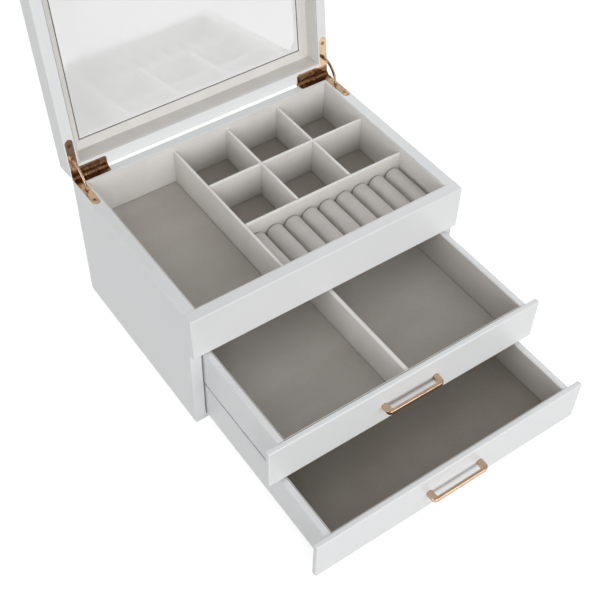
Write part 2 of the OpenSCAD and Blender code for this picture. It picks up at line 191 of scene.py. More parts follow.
# %% A finish whose nodes are added one call at a time
class Finish:
    """A material whose nodes are added one call at a time."""

    def __init__(self, name, slot):
        self.material = bpy.data.materials.new(name)
        self.material.use_nodes = True
        self.slot = slot
        self.tree = self.material.node_tree
        self.shader = self.tree.nodes["Principled BSDF"]
        self.place = self.node("TexCoord", {}, {}, "Object")

    def node(self, kind, settings, sockets, out=0):
        """Adds a node: its settings first, then its sockets' values or links."""
        made = self.tree.nodes.new("ShaderNode" + kind)
        for name, value in settings.items():
            setattr(made, name, value)
        self.fill(made, sockets)
        return Wire(self, made.outputs[out])

    def fill(self, made, sockets):
        for name, value in sockets.items():
            if isinstance(value, Wire):
                self.tree.links.new(value.socket, made.inputs[name])
            else:
                made.inputs[name].default_value = value

    def surface(self, sockets):
        """Sets or links the sockets of the surface shader."""
        self.fill(self.shader, sockets)
        return self


# %% [markdown]
# ## Patterns that every finish shares
#
# All patterns read Object coordinates. Each piece sits at the origin with its place in
# its mesh, so those are simply metres in the room, and a blotch of 2 mm is 2 mm on
# every piece. Nothing depends on unwrapping, and a pattern runs on from one board to
# the next as paint does.

# %% Clouds, stretched clouds, colour blends and bumps
def cloud(finish, size, detail=2.0, stretch=(1, 1, 1)):
    """Noise whose blotches are about size metres across, from 0 to 1."""
    place = finish.node("VectorMath", {"operation": "MULTIPLY"}, {0: finish.place, 1: stretch})
    return finish.node(
        "TexNoise", {"noise_dimensions": "3D"}, {"Vector": place, "Scale": 1 / size, "Detail": detail}
    )


def blend(finish, amount, low, high):
    """One colour where amount is 0 and another where it is 1."""
    colours = {0: amount, 6: (*low, 1), 7: (*high, 1)}
    return finish.node("Mix", {"data_type": "RGBA", "clamp_factor": True}, colours, 2)


def contrast(finish, value, dark, bright):
    """Spreads the values between dark and bright over the whole range."""
    sockets = {"Value": value, "From Min": dark, "From Max": bright}
    return finish.node("MapRange", {"interpolation_type": "SMOOTHSTEP"}, sockets)


def bump(finish, height, depth):
    """A normal that rises and falls by depth metres."""
    return finish.node("Bump", {}, {"Height": height, "Distance": depth, "Strength": 1.0}, "Normal")


# %% [markdown]
# ## White lacquer
#
# The boards are fibreboard sprayed with a satin white lacquer. Sprayed paint is never
# flat: it dries with a skin of soft dimples a few millimetres apart, known as orange
# peel, it holds a little dust, and its gloss drifts from place to place. All three are
# tiny, and without them a white board looks like plastic foam. A scanned texture could
# hold them too, but noise keeps its scale on every board and has no seams.

# %% Mix the lacquer
def make_lacquer():
    finish = Finish("white lacquer", "white_lacquer")
    drift = cloud(finish, 55 * MM)
    peel = cloud(finish, 2.4 * MM, 1.0)
    dust = cloud(finish, 0.35 * MM, 1.0)
    height = peel * 0.8 + contrast(finish, dust, 0.68, 0.8) * 0.25
    return finish.surface({
        "Base Color": blend(finish, drift, (0.735, 0.745, 0.75), (0.765, 0.77, 0.77)),
        "Roughness": 0.3 + drift * 0.1 + dust * 0.04,
        "Normal": bump(finish, height, 0.03 * MM),
        "Coat Weight": 0.12,
        "Coat Roughness": 0.18,
    })


lacquer = make_lacquer()
print("lacquer has", len(lacquer.tree.nodes), "nodes")

# %% [markdown]
# ## Velvet
#
# Short velvet is a field of upright fibres. Seen along the fibres it is deep in colour,
# seen across them it is pale, and wherever a finger or a ring has pushed them over it
# shows a lighter or a darker stroke. Hair could be grown on the cards, but it is heavy
# for so short a nap. So the strokes are a stretched cloud in the colour, and the fibres
# are a fine cloud that drives colour and bump. The sheen of the shader alone doesn't
# spread the tones far enough, so light and shade are also painted into the colour:
# faces that look up are painted paler as a highlight, most visibly along the rounded
# tops of the walls, and the large pads and the drawers' walls are painted deeper as
# shade, the small pads, the bed under the rings and the lower drawer deepest.

# %% How to weave a velvet
# The pale colour of the painted highlight on velvet faces that look up.
TOP_HIGHLIGHT_CLOTH = (0.86, 0.85, 0.83)


def make_velvet(name, slot, deep, pale, fibre, lie, top_highlight=0.0):
    finish = Finish(name, slot)
    fibres = cloud(finish, fibre, 3.0)
    tufts = cloud(finish, fibre * 4, 2.0, lie)
    strokes = contrast(finish, cloud(finish, 26 * MM, 3.0, lie), 0.36, 0.64)
    tone = strokes * 0.16 + tufts * 0.4 + fibres * 0.44
    cloth = blend(finish, contrast(finish, tone, 0.15, 0.85), deep, pale)
    # Painted highlight: faces that look up are mixed towards a pale colour, strongest along the rounded
    # tops of walls and dividers.
    if top_highlight:
        facing = finish.node("TexCoord", {}, {}, "Normal")
        upward = finish.node("SeparateXYZ", {}, {"Vector": facing}, "Z")
        over = contrast(finish, upward, 0.3, 0.9) * top_highlight
        cloth = finish.node(
            "Mix", {"data_type": "RGBA"}, {0: over, 6: cloth, 7: (*TOP_HIGHLIGHT_CLOTH, 1)}, 2
        )
    return finish.surface({
        "Base Color": cloth,
        "Roughness": 0.86 + fibres * 0.12,
        "Normal": bump(finish, fibres * 0.6 + tufts * 0.6 + strokes * 0.2, 0.22 * MM),
        "Sheen Weight": 0.35,
        "Sheen Roughness": 0.4,
        "Sheen Tint": (1.0, 0.97, 0.93, 1),
        "Specular IOR Level": 0.2,
    })


# %% How to press a felt
def make_felt():
    finish = Finish("pressed felt", "base_felt")
    tangle = cloud(finish, 1.6 * MM, 5.0)
    fibres = cloud(finish, 0.3 * MM, 2.0, (1, 0.3, 1))
    return finish.surface({
        "Base Color": blend(finish, tangle * 0.6 + fibres * 0.4, (0.2, 0.18, 0.165), (0.33, 0.3, 0.28)),
        "Roughness": 0.9 + fibres * 0.1,
        "Normal": bump(finish, tangle + fibres * 0.5, 0.3 * MM),
        "Sheen Weight": 0.2,
    })


# %% Weave the velvets and press the felt
FIBRE = 0.34 * MM
ROLL_FIBRE = 0.42 * MM
# The walls keep the palest tones of the cloth. Deeper tints of the same velvet are painted shade: the pads
# and the drawers' walls deeper, the small pads, the bed under the rings and the lower drawer deepest.
WALL_TONES = (0.64, 0.62, 0.59), (0.72, 0.705, 0.68)
lining_velvet = make_velvet("lining velvet", "lining_velvet", *WALL_TONES, FIBRE, (1, 0.45, 1), 0.7)
lid_velvet = make_velvet("lid velvet", "lining_velvet", *WALL_TONES, FIBRE, (1, 0.45, 1))
# Painted shade: the pads are a deeper tint of the walls' velvet.
pad_shade_velvet = make_velvet(
    "pad velvet", "lining_velvet", (0.44, 0.408, 0.37), (0.51, 0.48, 0.445), FIBRE, (0.45, 1, 1)
)
# Deepest painted shade, for the small pads, the bed under the rings and the lower drawer.
deepest_shade_velvet = make_velvet(
    "velvet in deepest painted shade", "lining_velvet", (0.31, 0.279, 0.243), (0.365, 0.333, 0.297), FIBRE, (1, 0.45, 1)
)
# Painted shade on the drawers' walls and the upper drawer's pads.
drawer_shade_velvet = make_velvet(
    "drawer velvet", "lining_velvet", (0.45, 0.423, 0.393), (0.52, 0.493, 0.463),
    FIBRE, (1, 0.45, 1), 0.7,
)
divider_velvet = make_velvet("divider velvet", "divider_velvet", *WALL_TONES, FIBRE, (1, 1, 0.45), 0.5)
roll_velvet = make_velvet(
    "roll velvet", "roll_velvet", (0.56, 0.537, 0.507), (0.65, 0.63, 0.6), ROLL_FIBRE, (0.45, 1, 1)
)
felt = make_felt()
print("seven velvets and a felt")

# %% [markdown]
# ## Metals and mirror
#
# The hinges and pulls are plated rose gold and polished. What makes polished metal look
# real is that it isn't perfect: the wheel leaves fine lines, stamping leaves ripples
# that bend every reflection, fingers leave dull spots, and so the gloss changes by a
# few hundredths. Near the pin the two leaves mirror each other, which makes gold look
# deep and brown, and a deep brown painted reflection there adds to that. The screws are
# duller, and those inside the drawers are plain zinc. The mirror's glass is painted as a
# pale sheet, a painted reflection of a pale room, with a weak real reflection in it. Two
# shaders could be mixed for that, but one that is partly metal and partly paint is
# simpler. The mirror's back is painted dark.

# %% How to plate a metal
lid_joint = next(j for j in frame["joints"] if j["name"] == "lid_hinge")
pin = Vector(lid_joint["pos_m"])


def make_metal(name, slot, deep, pale, gloss, ripple, pin_reflection_reach=0.0):
    finish = Finish(name, slot)
    touches = contrast(finish, cloud(finish, 6 * MM, 3.0), 0.45, 0.75)
    wheel = cloud(finish, 0.25 * MM, 2.0, (0.08, 1, 1))
    waves = cloud(finish, 3.2 * MM, 1.0)
    dull = touches * 0.4
    # Near the pin the colour is painted deep and brown on top of the finger marks: a painted reflection of
    # the other leaf and the dark joint.
    if pin_reflection_reach:
        middle = {0: finish.place, 1: (0, 1, 1), 2: (0, -pin.y, -pin.z)}
        across = finish.node("VectorMath", {"operation": "MULTIPLY_ADD"}, middle)
        away = finish.node("VectorMath", {"operation": "LENGTH"}, {0: across}, "Value")
        dull = dull + (1 - contrast(finish, away, pin_reflection_reach, pin_reflection_reach + 3 * MM)) * (0.6 + waves * 0.5)
    return finish.surface({
        "Base Color": blend(finish, dull, pale, deep),
        "Metallic": 1.0,
        "Roughness": gloss + touches * 0.08 + wheel * 0.05,
        "Normal": bump(finish, wheel * 0.008 + waves * ripple, 1 * MM),
    })


# %% How to silver and back a mirror
def make_mirror():
    finish = Finish("mirror glass with painted reflection", "mirror_glass")
    # The glass is painted pale grey as a painted reflection of a pale room; its small metal share and coat
    # give only a weak real reflection, and the wiping cloud varies the tone and the gloss.
    wiping = contrast(finish, cloud(finish, 45 * MM, 4.0, (1, 0.3, 0.3)), 0.45, 0.8)
    return finish.surface({
        "Base Color": blend(finish, wiping, (0.83, 0.835, 0.83), (0.79, 0.795, 0.79)),
        "Metallic": 0.17,
        "Roughness": 0.05 + wiping * 0.06,
        "Coat Weight": 0.3,
        "Coat Roughness": 0.03,
    })


def make_backing():
    finish = Finish("mirror backing paint", "mirror_glass")
    brushed = cloud(finish, 1.2 * MM, 3.0, (0.2, 1, 1))
    return finish.surface({
        "Base Color": blend(finish, brushed, (0.02, 0.02, 0.02), (0.05, 0.048, 0.045)),
        "Roughness": 0.45 + brushed * 0.2,
    })


# %% Plate the metals and silver the mirror
rose_gold = make_metal(
    "rose gold plate", "rose_gold", (0.2, 0.095, 0.04), (0.72, 0.5, 0.33), 0.07, 0.16, 6.5 * MM
)
screw_gold = make_metal("dull rose gold", "rose_gold", (0.16, 0.09, 0.05), (0.42, 0.27, 0.17), 0.18, 0.1)
pull_gold = make_metal(
    "polished rose gold", "rose_gold", (0.38, 0.25, 0.16), (0.6, 0.43, 0.3), 0.05, 0.05
)
zinc = make_metal("zinc plate", "zinc_screws", (0.42, 0.42, 0.44), (0.62, 0.62, 0.63), 0.26, 0.05)
painted_reflection_glass = make_mirror()
backing = make_backing()
print("four metals, a mirror and its backing")

# %% [markdown]
# ## The shut lid
#
# The lid is drawn standing open, so none of its faces is square to the room. Working on
# tilted boards is awkward, and every joiner builds a lid shut. So each lid piece is
# turned shut about the hinge pin, worked on there, and turned back when it is done. The
# pin and the angle are the lid joint's own.

# %% Turn lid pieces shut and open again
to_shut = (
    Matrix.Translation(pin)
    @ Matrix.Rotation(math.radians(lid_joint["range_deg"][1]), 4, "X")
    @ Matrix.Translation(-pin)
)
to_open = to_shut.inverted()


def body_of(node):
    return frame["nodes"][node]["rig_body"]


def cad_shape(node):
    """A CAD node's mesh with its triangles joined into whole faces, and the lid shut."""
    shape = bmesh.new()
    shape.from_mesh(frame["nodes"][node].data)
    if body_of(node) == "lid":
        shape.transform(to_shut)
    bmesh.ops.remove_doubles(shape, verts=shape.verts, dist=0.002 * MM)
    bmesh.ops.dissolve_limit(
        shape, angle_limit=math.radians(1), verts=shape.verts, edges=shape.edges
    )
    return shape


def reach(shape):
    """The lowest and highest corner of a shape."""
    places = [v.co for v in shape.verts]
    low = Vector([min(p[axis] for p in places) for axis in range(3)])
    high = Vector([max(p[axis] for p in places) for axis in range(3)])
    return low, high


def shut_box(node):
    """A node's box with the lid shut, in the closed lid's own square position."""
    shape = cad_shape(node)
    corners = reach(shape)
    shape.free()
    return corners


print("the lid shuts by", lid_joint["range_deg"][1], "degrees about", [round(p, 4) for p in pin])

# %% [markdown]
# ## Softening an edge
#
# A cutter or sanding block takes the sharpness off every edge that a hand can reach,
# and paint rounds it further. A Bevel modifier would soften every edge, also where two
# boards are glued flush, and would draw a groove there that paint has filled in the
# real case. So the edges are chosen: each is named by the two outer faces it joins, such
# as "left top", and only those are rounded. The rest of the board stays as it is.

# %% Round chosen edges of a board
SIDES = {
    "left": Vector((-1, 0, 0)),
    "right": Vector((1, 0, 0)),
    "front": Vector((0, -1, 0)),
    "back": Vector((0, 1, 0)),
    "top": Vector((0, 0, 1)),
    "bottom": Vector((0, 0, -1)),
}
EVERY_EDGE = [f"{a} {b}" for a, b in combinations(SIDES, 2) if SIDES[a].dot(SIDES[b]) == 0]


def outer_side(face, low, high):
    """The name of the outer side that a face lies on, or nothing."""
    for name, way in SIDES.items():
        furthest = max(way.dot(low), way.dot(high))
        if face.normal.dot(way) > 0.99 and abs(face.calc_center_median().dot(way) - furthest) < 0.01 * MM:
            return name
    return None


def soften(shape, edges, radius, steps=4):
    """Rounds the edges named by the two outer sides that they join."""
    shape.normal_update()
    low, high = reach(shape)
    wanted = [set(pair.split()) for pair in edges]
    chosen = [
        edge
        for edge in shape.edges
        if len(edge.link_faces) == 2 and {outer_side(f, low, high) for f in edge.link_faces} in wanted
    ]
    if chosen:
        bmesh.ops.bevel(
            shape, geom=chosen, offset=radius, segments=steps, profile=0.5,
            affect="EDGES", clamp_overlap=False,
        )
    return shape


# %% Turn a shape into a piece of the chest
def make_piece(name, shape, finish, body, nodes=(), crease=35):
    """Links a shape as a piece that rides on a body and stands for CAD nodes."""
    if body == "lid":
        shape.transform(to_open)
    bmesh.ops.recalc_face_normals(shape, faces=shape.faces)
    mesh = bpy.data.meshes.new(name)
    shape.to_mesh(mesh)
    shape.free()
    mesh.materials.append(finish.material)
    mesh.polygons.foreach_set("use_smooth", [True] * len(mesh.polygons))
    mesh.set_sharp_from_angle(angle=math.radians(crease))
    piece = bpy.data.objects.new(name, mesh)
    bpy.context.scene.collection.objects.link(piece)
    even = piece.modifiers.new("even shading", "WEIGHTED_NORMAL")
    even.keep_sharp = True
    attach(piece, body)
    if nodes:
        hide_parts(*nodes)
    return piece


# %% [markdown]
# ## The painted boards
#
# The case has two sides, a rear board and a deep front rail that stands forward over
# the drawers. The sides and the rear board already hold the sinkings for the hinge
# leaves, so each board starts from its CAD shape and only its open edges are rounded.
# Where the rail meets a side, both have the same rounding along the rim, so that the
# two edges run into each other as one painted edge. The inner edges of the rims are
# only eased, which leaves a hairline of shadow beside the velvet.

# %% Choose the edges of the case and the lid
CASE_ROUND = 0.8 * MM
FRONT_ROUND = 1.1 * MM
BOX_ROUND = 0.6 * MM
THIN_ROUND = 0.4 * MM
RIM_ROUND = 0.3 * MM


def mirrored(edges):
    """The same edges on a right-hand board."""
    swap = {"left": "right", "right": "left"}
    return [" ".join(swap.get(word, word) for word in pair.split()) for pair in edges]


case_side_edges = ["left top", "left back", "left bottom", "left front", "right front"]
lid_side_edges = ["left bottom", "left front", "left back"]
drawer_side_edges = ["left top", "right top", "left bottom", "left back"]
panel_edges = [pair for pair in EVERY_EDGE if "bottom" not in pair]
BOARDS = {
    "case_side_left": (case_side_edges, CASE_ROUND),
    "case_side_right": (mirrored(case_side_edges), CASE_ROUND),
    "case_rear": (["back top", "back bottom"], CASE_ROUND),
    "case_front_rail": (
        ["left top", "right top", "front top", "front bottom", "left front", "right front"],
        CASE_ROUND,
    ),
    "tray_deck": (["front bottom"], THIN_ROUND),
    "drawer_shelf": (["front top", "front bottom"], BOX_ROUND),
    "case_base": (["front top", "front bottom"], CASE_ROUND),
    "lid_panel": (panel_edges, CASE_ROUND),
    "lid_rail_front": (["front bottom"], CASE_ROUND),
    "lid_rail_rear": (["back bottom"], CASE_ROUND),
    "lid_rail_left": (lid_side_edges, CASE_ROUND),
    "lid_rail_right": (mirrored(lid_side_edges), CASE_ROUND),
}

# %% Choose the edges of the drawers and the rims
for drawer in ("drawer_upper", "drawer_lower"):
    BOARDS[drawer + "_front"] = (EVERY_EDGE, FRONT_ROUND)
    BOARDS[drawer + "_side_left"] = (drawer_side_edges, BOX_ROUND)
    BOARDS[drawer + "_side_right"] = (mirrored(drawer_side_edges), BOX_ROUND)
    BOARDS[drawer + "_back"] = (["front top", "back top", "back bottom"], BOX_ROUND)
    BOARDS[drawer + "_bottom"] = (["back bottom", "left bottom", "right bottom"], THIN_ROUND)

INNER_RIMS = {
    "case_side_left": "right top",
    "case_side_right": "left top",
    "case_rear": "front top",
    "case_front_rail": "back top",
    "lid_rail_left": "right bottom",
    "lid_rail_right": "left bottom",
    "lid_rail_front": "back bottom",
    "lid_rail_rear": "front bottom",
}

# %% Round and paint every board
for node, (edges, radius) in BOARDS.items():
    board = cad_shape(node)
    if node in INNER_RIMS:
        soften(board, [INNER_RIMS[node]], RIM_ROUND, 2)
    soften(board, edges, radius)
    make_piece("painted_" + node, board, lacquer, body_of(node), [node])
print(len(BOARDS), "painted boards")

# %% [markdown]
# ## Velvet on card
#
# The walls of the tray and of the drawers are lined with velvet glued to thin card, and
# the dividers are thin boards wrapped in it. Cloth that turns over an edge never makes
# a sharp arris, so every upper edge is rounded nearly to the full thickness. That small
# round and the painted highlight on faces that look up draw the pale line along the
# top of each wall. The cards are cut a hair short and don't touch the boards behind
# them, which leaves the dark seams seen in every corner and along the rims. The dividers'
# halving joints are hidden under the cloth, so plain blocks of the CAD shapes' sizes are
# enough, and simpler to round.

# %% How to cover a wall
SEAM = 0.15 * MM
DIVIDER_SEAM = 0.05 * MM
SUNK = 1.2 * MM
SUNK_LITTLE = 0.8 * MM
DRAWER_LINING = 0.8 * MM
LID_LINING = 1.0 * MM
SHADOW_GAP = 0.3 * MM


def solid_box(low, high):
    """A plain block, ready to be softened."""
    shape = bmesh.new()
    bmesh.ops.create_cube(shape, size=1)
    for vertex in shape.verts:
        vertex.co = Vector([low[i] if vertex.co[i] < 0 else high[i] for i in range(3)])
    return shape


def upper_edges(low, high, top="top"):
    """The two long edges of a thin wall, on the side where they can be seen."""
    runs_across = high.x - low.x > high.y - low.y
    return [f"{side} {top}" for side in (("front", "back") if runs_across else ("left", "right"))]


def velvet_wall(name, low, high, finish, node, top="top"):
    """A thin wall covered in cloth, rounded along its open edge."""
    shape = solid_box(low, high)
    thick = min(high.x - low.x, high.y - low.y)
    soften(shape, upper_edges(low, high, top), thick * 0.42, 5)
    return make_piece(name, shape, finish, body_of(node), [node])


def off_board(low, high, side):
    """Draws a lining's back away from the board on its side, so a dark line shows."""
    low, high = low.copy(), high.copy()
    axis = 0 if side in ("left", "right") else 1
    if side in ("left", "front"):
        low[axis] += SHADOW_GAP
    else:
        high[axis] -= SHADOW_GAP
    return low, high


def short_of(low, high, gap):
    """Shortens a wall by a gap at both ends."""
    along = 0 if high.x - low.x > high.y - low.y else 1
    low, high = low.copy(), high.copy()
    low[along] += gap
    high[along] -= gap
    return low, high


# %% Card walls and wrapped dividers
for side in ("left", "right", "front", "rear"):
    node = "tray_lining_" + side
    low, high = short_of(*off_board(*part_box(node), side), SEAM)
    low.z -= SUNK
    velvet_wall("velvet_" + node, low, high, lining_velvet, node)

DIVIDERS = {
    "divider_long": 0,
    "divider_cross_rear": 0.2 * MM,
    "divider_cross_front": 0.1 * MM,
    "divider_short_left": 0,
    "divider_short_right": 0,
    "drawer_upper_divider": 0,
}
for node, lower in DIVIDERS.items():
    low, high = short_of(*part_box(node), DIVIDER_SEAM)
    low.z -= SUNK_LITTLE
    high.z -= lower
    velvet_wall("wrapped_" + node, low, high, divider_velvet, node)
print("4 tray walls and", len(DIVIDERS), "dividers")

# %% [markdown]
# The drawers and the lid are lined by four strips each. In the CAD model each ring of
# strips is one solid, so the strips are worked out from its outer box and its thickness.
# The lid's ring hangs with its open edge downwards when the lid is shut.

# %% Four strips round a box
def lining_ring(node, thick, top, finish):
    """Four velvet strips along the walls of a box."""
    low, high = shut_box(node)
    if top == "top":
        low.z -= SUNK_LITTLE
    strips = {
        "left": (low, Vector((low.x + thick, high.y, high.z))),
        "right": (Vector((high.x - thick, low.y, low.z)), high),
        "front": (Vector((low.x + thick, low.y, low.z)), Vector((high.x - thick, low.y + thick, high.z))),
        "rear": (Vector((low.x + thick, high.y - thick, low.z)), Vector((high.x - thick, high.y, high.z))),
    }
    for side, (first, last) in strips.items():
        place = short_of(*off_board(first, last, side), SEAM)
        velvet_wall(f"velvet_{node}_{side}", *place, finish, node, top)


lining_ring("drawer_upper_lining", DRAWER_LINING, "top", drawer_shade_velvet)
lining_ring("drawer_lower_lining", DRAWER_LINING, "top", drawer_shade_velvet)
lining_ring("lid_lining", LID_LINING, "bottom", lid_velvet)
print("12 lining strips")

# %% [markdown]
# ## Floor pads
#
# Under each compartment lies a pad: a card with a thin sheet of foam under the velvet.
# It is almost flat, a little higher in the middle, and it rolls down at its rim, where
# the cloth is pulled round the card. A scaled block has none of that. A height for each
# point of a grid is easy to work out, and the grid is made finer towards the rim, where
# the shape changes. The foam is too thin for a cloth simulation to add anything.

# %% Pads from a grid of heights
def stations(length, rim):
    """Places along a side, close together near both ends."""
    near = [rim * share for share in (0, 0.08, 0.22, 0.42, 0.7, 1.0)]
    count = max(2, round((length - 2 * rim) / (5 * MM)))
    middle = [rim + (length - 2 * rim) * i / count for i in range(1, count)]
    return near + middle + [length - s for s in reversed(near)]


UNEVEN = 0.12 * MM


def pad_height(x, y, width, depth, rim, crown, seed):
    """How high a pad stands at a point: rolled at its rim, crowned in its middle."""
    inside = min(x, y, width - x, depth - y, rim) / rim
    rolled = math.sqrt(1 - (1 - inside) ** 2)
    swell = math.sin(math.pi * x / width) * math.sin(math.pi * y / depth)
    uneven = noise.noise(Vector((x, y, 0)) / (22 * MM) + Vector((seed * 7.3, 0, seed)))
    return rolled, crown * swell + UNEVEN * uneven * inside


def make_pad(name, low, high, node, finish, crown=0.25 * MM, rim=1.5 * MM, seed=0):
    """A velvet pad that fills a box, with a flat underside."""
    width, depth, thick = high - low
    across, along = stations(width, rim), stations(depth, rim)
    edge_height = thick * 0.3
    shape = bmesh.new()
    rows = []
    for y in along:
        row = []
        for x in across:
            rolled, swell = pad_height(x, y, width, depth, rim, crown, seed)
            z = edge_height + (thick - edge_height) * rolled + swell
            row.append(shape.verts.new(low + Vector((x, y, z))))
        rows.append(row)
    for one, two in zip(rows, rows[1:]):
        for i in range(len(across) - 1):
            shape.faces.new((one[i], one[i + 1], two[i + 1], two[i]))
    outline = rows[0] + [r[-1] for r in rows[1:]] + rows[-1][-2::-1] + [r[0] for r in rows[-2:0:-1]]
    under = [shape.verts.new((v.co.x, v.co.y, low.z)) for v in outline]
    for i, vertex in enumerate(outline):
        j = (i + 1) % len(outline)
        shape.faces.new((vertex, under[i], under[j], outline[j]))
    shape.faces.new(reversed(under))
    pad = make_piece(name, shape, finish, body_of(node), [node], crease=60)
    return pad


# %% Lay a pad in every compartment of the tray
def box_between(low_x, high_x, low_y, high_y, node):
    """A pad's box: between four walls, as high as a CAD pad."""
    floor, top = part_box(node)
    gap = 0.1 * MM
    return Vector((low_x + gap, low_y + gap, floor.z)), Vector((high_x - gap, high_y - gap, top.z))


tray_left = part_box("tray_lining_left")[1].x
tray_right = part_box("tray_lining_right")[0].x
tray_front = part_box("tray_lining_front")[1].y
tray_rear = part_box("tray_lining_rear")[0].y
make_pad(
    "pad_long_tray",
    *box_between(tray_left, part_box("divider_long")[0].x, tray_front, tray_rear, "tray_pad"),
    "tray_pad", pad_shade_velvet, seed=1,
)
columns = ["divider_long", "divider_short_left", "divider_short_right"]
column_low = [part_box(node)[1].x for node in columns]
column_high = [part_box(node)[0].x for node in columns[1:]] + [tray_right]
row_low = [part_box("divider_cross_front")[1].y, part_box("divider_cross_rear")[1].y]
row_high = [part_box("divider_cross_rear")[0].y, tray_rear]
for row in range(2):
    for column in range(3):
        across = column_low[column], column_high[column]
        place = box_between(*across, row_low[row], row_high[row], "tray_pad")
        number = row * 3 + column + 1
        make_pad(f"pad_square_{number}", *place, "tray_pad", deepest_shade_velvet, seed=number + 1)
ring_bed = box_between(
    column_low[0], tray_right, tray_front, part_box("divider_cross_front")[0].y, "tray_pad"
)
make_pad("pad_under_rings", *ring_bed, "tray_pad", deepest_shade_velvet, crown=0)


# %% Lay pads in the drawers
def drawer_floor(drawer, walls, finish):
    """Pads between a drawer's lining and its dividers, from left to right."""
    pad_node, lining_node = drawer + "_pad", drawer + "_lining"
    low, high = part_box(lining_node)
    lefts = [low.x + DRAWER_LINING] + [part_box(w)[1].x for w in walls]
    rights = [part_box(w)[0].x for w in walls] + [high.x - DRAWER_LINING]
    for number, (left, right) in enumerate(zip(lefts, rights), 1):
        place = box_between(left, right, low.y + DRAWER_LINING, high.y - DRAWER_LINING, pad_node)
        make_pad(f"pad_{drawer}_{number}", *place, pad_node, finish, rim=1.2 * MM, seed=10 + number)


drawer_floor("drawer_upper", ["drawer_upper_divider"], pad_shade_velvet)
drawer_floor("drawer_lower", [], deepest_shade_velvet)
print("pads for 8 places in the tray and 3 in the drawers")

# %% [markdown]
# ## Ring rolls
#
# Rings stand in the slits between foam rolls. Each roll is a strip of foam bent over to
# a half-round top and wrapped in velvet, so it is tight along its back, a little soft at
# its ends, and no two are quite alike. Shape alone can be modelled, but the way cloth
# tightens over foam is what a cloth simulation is good at: the roll starts a little too
# small, is remeshed into even cells, and is blown up by pressure with no gravity. The
# foot is pinned, because it rests on the pad, and no point may move further than a cap.

# %% Swell a piece by cloth pressure
def evaluated_mesh(piece):
    """The mesh that a piece shows, with its modifiers applied."""
    graph = bpy.context.evaluated_depsgraph_get()
    return bpy.data.meshes.new_from_object(piece.evaluated_get(graph))


def remesh(piece, cell):
    """Rebuilds a piece in even cells."""
    change = piece.modifiers.new("even cells", "REMESH")
    change.mode = "VOXEL"
    change.voxel_size = cell
    piece.data = evaluated_mesh(piece)
    piece.modifiers.clear()


def swell(piece, pressure, cap, foot):
    """Blows a piece up with its foot pinned, and keeps every point within a cap."""
    start = [v.co.copy() for v in piece.data.vertices]
    pinned = piece.vertex_groups.new(name="foot")
    pinned.add([i for i, place in enumerate(start) if place.z < foot], 1.0, "REPLACE")
    cloth = piece.modifiers.new("cloth", "CLOTH")
    cloth.settings.use_pressure = True
    cloth.settings.uniform_pressure_force = pressure
    cloth.settings.vertex_group_mass = "foot"
    cloth.settings.effector_weights.gravity = 0
    cloth.settings.quality = 4
    scene = bpy.context.scene
    for step in range(1, 21):
        scene.frame_set(step)
    moved = evaluated_mesh(piece)
    piece.modifiers.clear()
    for vertex, before in zip(moved.vertices, start):
        shift = vertex.co - before
        vertex.co = before + shift * min(1, cap / max(shift.length, 1e-9))
    piece.data = moved
    piece.vertex_groups.clear()
    scene.frame_set(1)


# %% The shape of a roll
bed_low, bed_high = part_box("ring_rolls")
ROLL_COUNT = 9
roll_pitch = (tray_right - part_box("divider_long")[1].x) / ROLL_COUNT
roll_width = bed_high.x - bed_low.x - (ROLL_COUNT - 1) * roll_pitch
SLACK = 0.45 * MM
ROLL_END = 1.3 * MM
CELL = 1.3 * MM
PRESSURE = 4
MOST_SWELL = 0.6 * MM
FOOT = 1.5 * MM


def roll_shape(left, seed):
    """A half-round roll, a little smaller than its place."""
    shape = bmesh.new()
    radius = roll_width / 2 - SLACK
    middle = left + roll_width / 2
    spring = bed_high.z - SLACK - radius
    arc = [math.pi * i / 16 for i in range(17)]
    outline = [(middle + radius * math.cos(a), spring + radius * math.sin(a)) for a in arc]
    outline += [(middle - radius, bed_low.z), (middle + radius, bed_low.z)]
    ends = []
    for y in (bed_low.y + SLACK, bed_high.y - SLACK):
        ends.append([shape.verts.new((x, y, z)) for x, z in outline])
    count = len(outline)
    for i in range(count):
        shape.faces.new((ends[0][i], ends[0][(i + 1) % count], ends[1][(i + 1) % count], ends[1][i]))
    caps = [shape.faces.new(reversed(ends[0])), shape.faces.new(ends[1])]
    above_foot = bed_low.z + MM
    rims = [edge for cap in caps for edge in cap.edges if max(v.co.z for v in edge.verts) > above_foot]
    bmesh.ops.bevel(shape, geom=rims, offset=ROLL_END, segments=3, profile=0.5, affect="EDGES")
    for vertex in shape.verts:
        wander = noise.noise(vertex.co / (9 * MM) + Vector((seed * 3.1, 0, 0)))
        vertex.co.z += 0.25 * MM * wander * (vertex.co.z > above_foot)
    return shape


# %% Make the nine rolls
for number in range(ROLL_COUNT):
    roll = make_piece(
        f"ring_roll_{number + 1}", roll_shape(bed_low.x + number * roll_pitch, number + 1),
        roll_velvet, "case", ["ring_rolls"], crease=180,
    )
    roll.modifiers.clear()
    remesh(roll, CELL)
    swell(roll, PRESSURE, MOST_SWELL, bed_low.z + FOOT)
    roll.data.polygons.foreach_set("use_smooth", [True] * len(roll.data.polygons))
    smooth = roll.modifiers.new("finer cloth", "SUBSURF")
    smooth.levels = 1
    smooth.render_levels = 1
print(ROLL_COUNT, "rolls", round(roll_width / MM, 1), "mm wide")

# %% [markdown]
# ## The mirror and its velvet frame
#
# The glass lies in a frame of velvet inside the lid. Its edge is ground to a shallow
# slope all round, which catches the light as a fine frame of its own. The slope is made
# by insetting the glass's face and letting its rim fall back, because a bevel would cut
# as far down the edge as it cuts into the face. Behind it is a sheet of dark paint that
# is slightly larger, so the joint between glass and velvet reads dark. The frame is four
# strips that meet at mitres, with a hair of space between them.

